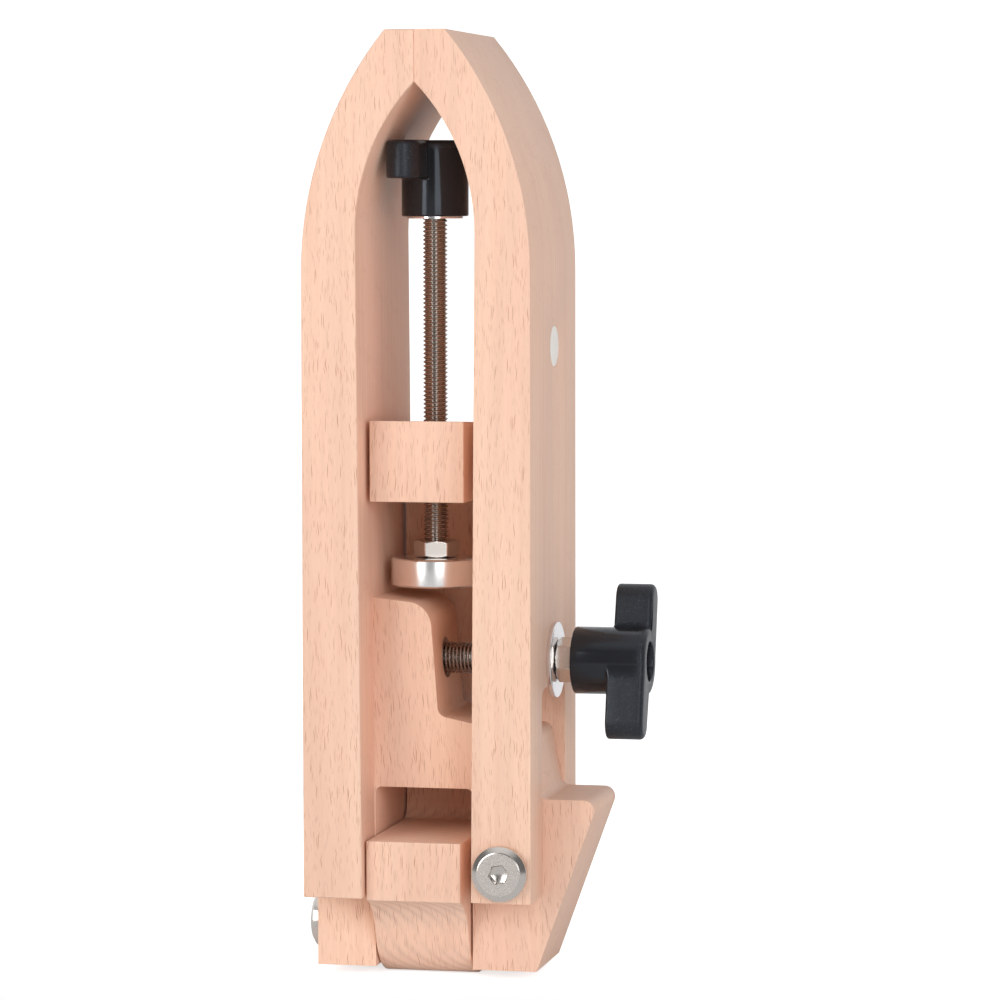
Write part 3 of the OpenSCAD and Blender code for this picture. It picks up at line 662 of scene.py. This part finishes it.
aluminium = metal_finish("turned_aluminium", (0.92, 0.91, 0.90), 0.24, spread=0.02, grain=9000.0,
                         depth=0.0012 * MM, stretch=(0.05, 0.05, 1))
low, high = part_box("pad_disc")
pad_r, pad_t = (high.x - low.x) / 2, high.z - low.z
pad_at = (low + high) / 2
pad_rows = rounded([(0, PAD_FLOOR), (bore, PAD_FLOOR), (bore, pad_t), (pad_r - PAD_BEVEL, pad_t),
                    (pad_r, pad_t - PAD_BEVEL), (pad_r, PAD_BEVEL), (pad_r - PAD_BEVEL, 0), (0, 0)],
                   PAD_ROUND, steps=3)
pad = ring_piece("pad_turned", circle_rings(pad_rows, 128), (pad_at.x, pad_at.y, low.z), (0, 0, 1), aluminium)
declare(pad, "table_screw", "turned_aluminium", "pad_disc")

nut_plate = metal_finish("nut_plate", (0.66, 0.61, 0.57), 0.22, spread=0.02, grain=1500.0, depth=0.001 * MM)


def hex_nut(name, node, body, axis, axis_index, turn):
    """A hexagon prism round a countersunk bore; a 30 degree cone cuts its corners at both ends.

    Its six long edges are just broken, as by tumbling. The turn is that of one corner from the first column.
    """
    low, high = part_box(node)
    start = (np.array(low) + np.array(high)) / 2
    start[axis_index] = low[axis_index]
    t = high[axis_index] - low[axis_index]
    side = np.minimum(hexagon(NUT_COLUMNS, NUT_AF, turn), NUT_CORNER)
    cone = math.tan(math.radians(30))
    levels = [np.linspace(0, 0.18, 7), np.linspace(0.25, 0.75, 3), np.linspace(0.82, 1, 7)]
    outer = [(np.minimum(side, NUT_END + min(h, t - h) / cone), h) for h in np.concatenate(levels) * t]
    rows = [(bore, NUT_SINK), (bore + NUT_SINK, 0.0)] + outer
    rows += [(bore + NUT_SINK, t), (bore, t - NUT_SINK), (bore, NUT_SINK)]
    nut = ring_piece(name, circle_rings(rows, NUT_COLUMNS), start, axis, nut_plate, crease=35)
    declare(nut, body, "nickel", node)


hex_nut("pad_lock_nut_hex", "pad_lock_nut", "table_screw", (0, 0, 1), 2, PAD_NUT_TURN)


# The side clamp: a stainless M6 stud in the base, a bright washer on the right arm, a nut that turns
# with the knob, and a coil spring round the stud that pushes the arm open.
SPRING_CURLS = 16
SPRING_STEPS = 24
SPRING_WIRE = 0.27 * MM
WIRE_COLUMNS = 10

stud_rod = threaded_rod("clamp_stud_thread", "clamp_stud", (1, 0, 0), 0)
declare(stud_rod, "base", "stainless", "clamp_stud")
flat_washer("clamp_washer_disc", "clamp_washer", "clamp_washer", bore)
hex_nut("clamp_nut_hex", "clamp_nut", "clamp_knob", (1, 0, 0), 0, CLAMP_NUT_TURN)

spring_steel = metal_finish("spring_wire", (0.42, 0.38, 0.35), 0.28)
low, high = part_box("arm_spring")
stud_z = (low.z + high.z) / 2
spring_r = (high.z - low.z) / 2 - SPRING_WIRE
spring_run = high.x - low.x - 2 * SPRING_WIRE
along = np.linspace(0, 1, SPRING_CURLS * SPRING_STEPS + 1)[:, None]
curl = 2 * math.pi * SPRING_CURLS * along
wire = np.linspace(0, 2 * math.pi, WIRE_COLUMNS, endpoint=False)[None, :]
wire_r = spring_r + SPRING_WIRE * np.cos(wire)
coil = np.stack([low.x + SPRING_WIRE + spring_run * along + SPRING_WIRE * np.sin(wire),
                 wire_r * np.cos(curl), stud_z + wire_r * np.sin(curl)], -1)
tips = [np.broadcast_to(coil[i].mean(0), (1, WIRE_COLUMNS, 3)) for i in (0, -1)]
coil = np.concatenate([tips[0], coil, tips[1]])
spring = mesh_piece("arm_spring_coil", coil.reshape(-1, 3), grid_faces(len(coil), WIRE_COLUMNS), spring_steel)
weld(spring, 60)
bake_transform(spring)
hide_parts("arm_spring")


# The wing knobs: moulded black plastic on threaded inserts. A round hub carries two lobes with round
# ends, nearly flush with it on opposite sides; their skin is finely grained, the hub is glossier, and
# a hole opens at the top.
KNOB_LENGTH = 18.0 * MM
HUB_RADIUS = 8.0 * MM
HUB_LENGTH = 9.0 * MM
HUB_ROUND = 0.4 * MM
WING_HALF = 19.0 * MM
WING_END_R = 4.0 * MM
WING_INSET = 0.3 * MM
WING_FILLET = 2.0 * MM
TOP_ROUND = 1.2 * MM
UNDER_ROUND = 0.6 * MM
HUB_FILLET = 0.5 * MM
FILLET_DROP = 0.02 * MM
HOLE_RADIUS = 4.8 * MM
HOLE_DEEP = 6.0 * MM
HOLE_EDGE = 0.3 * MM
HOLE_EDGE_MID = 0.08 * MM
INSERT_RADIUS = 4.55 * MM
TABLE_KNOB_TURN = math.radians(2)
CLAMP_KNOB_TURN = math.radians(13)
KNOB_COLUMNS = 240
OUTLINE_STEPS = 2880
PLASTIC_DARK = (0.016, 0.016, 0.019, 1.0)
# Lighter dots of the grained skin: painted glints in the base colour.
PLASTIC_GLINT_PAINTED = (0.130, 0.130, 0.140, 1.0)


def wing_outline():
    """The wing seen from its end, as points and outward normals spaced evenly round it.

    A lobe is a bar beside the axis with a round end: at each angle from the wing's line the ray leaves
    the bar at its near or far side, or at the end's circle. The radius is the larger of that and the
    hub's, and where the two are equal on the lobe's inner side it swells by a square of their
    closeness, as a fillet. The second lobe is the first turned by half a turn.
    """
    angle = np.linspace(0, 2 * math.pi, OUTLINE_STEPS + 1)
    along = np.abs(np.cos(angle))
    across = np.sin(angle) * np.sign(np.cos(angle) + 1e-12)
    end_at = WING_HALF - WING_END_R
    beside = HUB_RADIUS - WING_INSET - WING_END_R
    outer, inner = beside + WING_END_R, WING_END_R - beside
    side = np.where(across > 0, outer, inner) / np.maximum(np.abs(across), 1e-9)
    toward = beside * across + end_at * along
    under_root = toward ** 2 - beside ** 2 - end_at ** 2 + WING_END_R ** 2
    tip = np.where(under_root > 0, toward + np.sqrt(np.maximum(under_root, 0)), 0)
    bar = np.maximum(np.minimum(side, end_at / np.maximum(along, 1e-9)), tip)
    closeness = np.maximum(WING_FILLET - np.abs(bar - HUB_RADIUS), 0) / WING_FILLET
    swell = np.where(across < 0, closeness ** 2 * WING_FILLET / 4, 0)
    radius = np.maximum(bar, HUB_RADIUS) + swell
    line = np.stack([radius * np.sin(angle), radius * np.cos(angle)], -1)
    run = np.concatenate([[0], np.cumsum(np.linalg.norm(np.diff(line, axis=0), axis=1))])
    stops = np.linspace(0, run[-1], KNOB_COLUMNS, endpoint=False)
    points = np.stack([np.interp(stops, run, line[:, i]) for i in (0, 1)], -1)
    tangent = np.roll(points, -1, 0) - np.roll(points, 1, 0)
    tangent /= np.linalg.norm(tangent, axis=1, keepdims=True)
    return points, np.stack([-tangent[:, 1], tangent[:, 0]], -1)


def wing_knob_rings():
    """Rings of the knob, and how grained each ring is at each column.

    They run from the bore's top down, round the hub's foot, up the hub, out under the wing, up its side
    and over its face to the hole. All rounded edges are quarter circles.
    """
    outline, normal = wing_outline()
    normal = normal * np.sign((normal * outline).sum(1, keepdims=True))
    heading = outline / np.linalg.norm(outline, axis=1, keepdims=True)
    hub = heading * HUB_RADIUS
    gap = np.linalg.norm(outline - hub, axis=1, keepdims=True)
    winged = np.clip(gap / WING_FILLET, 0, 1)
    winged = winged ** 2 * (3 - 2 * winged)
    quarter = np.linspace(0, math.pi / 2, 7)
    rings, grain = [], []

    def ring(points, height, skin=0.0):
        rings.append(np.column_stack([points, np.full(KNOB_COLUMNS, height)]))
        grain.append(np.broadcast_to(np.ravel(skin), (KNOB_COLUMNS,)))

    ring(heading * INSERT_RADIUS, KNOB_LENGTH - HOLE_DEEP)
    ring(heading * INSERT_RADIUS, 0)
    for q in quarter:
        ring(heading * (HUB_RADIUS - HUB_ROUND * (1 - math.sin(q))), HUB_ROUND * (1 - math.cos(q)))
    under = outline - UNDER_ROUND * winged * normal
    reach = np.linalg.norm(under - hub, axis=1, keepdims=True)
    outward = (under - hub) / np.maximum(reach, 1e-9)
    for q in quarter:
        step = np.minimum(HUB_FILLET * (1 - math.cos(q)), 0.45 * reach)
        ring(hub + outward * step, HUB_LENGTH - HUB_FILLET * (1 - math.sin(q)) - FILLET_DROP,
             winged * math.sin(q))
    for q in quarter:
        ring(outline - UNDER_ROUND * winged * (1 - math.sin(q)) * normal,
             HUB_LENGTH + UNDER_ROUND * (1 - math.cos(q)), winged)
    for share in (0.35, 0.7):
        ring(outline, HUB_LENGTH + share * (KNOB_LENGTH - HUB_LENGTH), winged)
    for q in quarter:
        ring(outline - TOP_ROUND * (1 - math.cos(q)) * normal,
             KNOB_LENGTH - TOP_ROUND * (1 - math.sin(q)), 1.0)
    ring(heading * (HOLE_RADIUS + HOLE_EDGE), KNOB_LENGTH, 1.0)
    ring(heading * (HOLE_RADIUS + HOLE_EDGE_MID), KNOB_LENGTH - HOLE_EDGE_MID)
    ring(heading * HOLE_RADIUS, KNOB_LENGTH - HOLE_EDGE)
    ring(heading * HOLE_RADIUS, KNOB_LENGTH - HOLE_DEEP)
    ring(heading * INSERT_RADIUS, KNOB_LENGTH - HOLE_DEEP)
    return np.array(rings), np.array(grain)


def moulded_plastic():
    """Black plastic: near-black, with a fine spark-eroded grain where the piece's own grain value is high,
    whose lighter dots are painted glints in the base colour.
    """
    material, shader, m = new_material("black_plastic")
    skin = add_node(m.tree, "ShaderNodeAttribute", attribute_name="grain").outputs["Fac"]
    speck = m.noise(m.stretch(m.place(), 3200, 3200, 3200), 2.0)
    # Lighter dots on the grained skin are painted glints.
    painted_glints = m.sum("MULTIPLY", m.sum("MULTIPLY", m.ramp(speck, 0.58, 0.76), skin), 0.5)
    rough = m.ramp(speck, 0.3, 0.7, 0.11, 0.15)
    bump = add_node(m.tree, "ShaderNodeBump", in_Strength=0.6, in_Distance=0.03 * MM)
    m.feed(bump, "Height", m.sum("MULTIPLY", speck, m.sum("MULTIPLY_ADD", skin, 0.9, 0.1)))
    m.feed(shader, "Base Color", m.mix(painted_glints, PLASTIC_DARK, PLASTIC_GLINT_PAINTED))
    m.feed(shader, "Roughness", m.sum("MULTIPLY_ADD", skin, 0.24, rough))
    m.feed(shader, "Normal", bump.outputs["Normal"])
    shader.inputs["Specular IOR Level"].default_value = 0.45
    shader.inputs["Specular Tint"].default_value = (0.78, 0.88, 1.0, 1.0)
    return material


plastic = moulded_plastic()
knob_shape, knob_grain = wing_knob_rings()


def place_knob(name, origin, axis, wing, body, node):
    """A knob whose hub end is at origin, with its axis and its wing along the two directions given."""
    axis, wing = np.array(axis, float), np.array(wing, float)
    lay = np.stack([np.cross(wing, axis), wing, axis])
    points = knob_shape.reshape(-1, 3) @ lay + np.asarray(origin, float)
    knob = mesh_piece(name, points, grid_faces(len(knob_shape), KNOB_COLUMNS), plastic)
    skin = knob.data.attributes.new("grain", "FLOAT", "POINT")
    skin.data.foreach_set("value", knob_grain.ravel().astype(np.float32))
    weld(knob, 60)
    declare(knob, body, "black_plastic", node)


screw_low, screw_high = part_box("table_screw")
low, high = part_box("table_knob")
place_knob("table_knob_moulded", ((screw_low.x + screw_high.x) / 2, 0, low.z), (0, 0, 1),
           (math.sin(TABLE_KNOB_TURN), math.cos(TABLE_KNOB_TURN), 0), "table_screw", "table_knob")
low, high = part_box("clamp_knob")
place_knob("clamp_knob_moulded", (low.x, 0, stud_z), (1, 0, 0),
           (0, math.sin(CLAMP_KNOB_TURN), math.cos(CLAMP_KNOB_TURN)), "clamp_knob", "clamp_knob")
